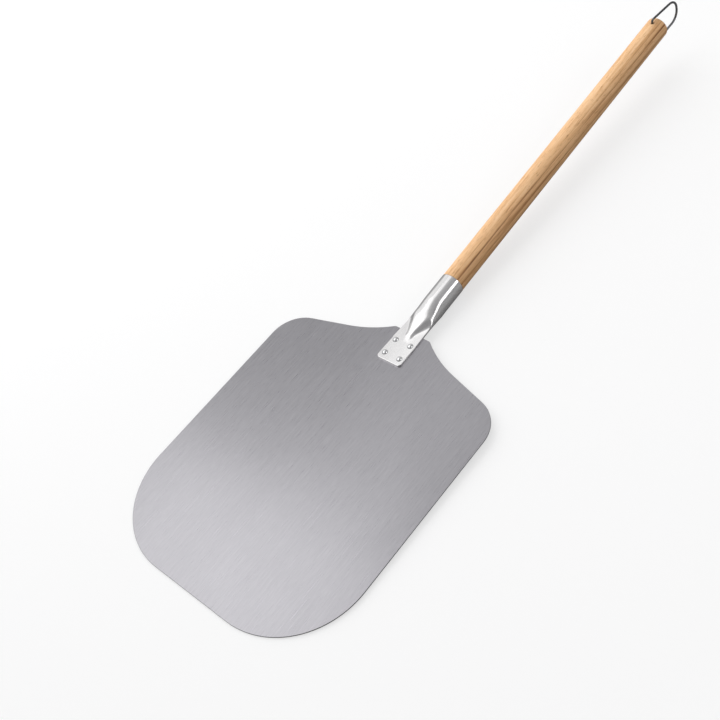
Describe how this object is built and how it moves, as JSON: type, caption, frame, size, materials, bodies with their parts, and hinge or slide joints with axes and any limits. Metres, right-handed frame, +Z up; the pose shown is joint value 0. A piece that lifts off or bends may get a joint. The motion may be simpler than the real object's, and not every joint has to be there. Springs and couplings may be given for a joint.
{
  "type": "pizza peel",
  "caption": "Flat sheet-metal blade riveted to a pressed tube socket on a round wooden handle with a swinging wire hanging loop, for sliding pizza in and out of an oven.",
  "frame": {"origin": "middle of the blade's flat underside, halfway along its length and its width", "axes": "+Y from the blade along the handle, +Z up out of the blade's food side, +X to the right seen from above with the handle away"},
  "size_m": [0.305, 0.9205, 0.0602],
  "materials": {
    "blade_metal": "matte, finely brushed",
    "socket_metal": "bright, lightly polished",
    "rivet_metal": "bright, smooth domes",
    "handle_wood": "smooth, thinly oiled, straight grain along the handle",
    "screw_metal": "plain bright steel",
    "loop_metal": "bright plated wire"
  },
  "bodies": {
    "peel": {"blade": "blade_metal", "socket": "socket_metal", "rivet_front_left": "rivet_metal", "rivet_front_right": "rivet_metal", "rivet_rear_left": "rivet_metal", "rivet_rear_right": "rivet_metal", "handle": "handle_wood", "handle_screw": "screw_metal"},
    "hanging_loop": {"hanging_loop": "loop_metal"}
  },
  "joints": [
    {"name": "loop_swing", "type": "hinge", "parent": "peel", "child": "hanging_loop", "pos_m": [0, 0.68897, 0.03132], "axis": [0, -0.0576, 0.9983], "range_deg": [-154.9, 165.1]}
  ]
}
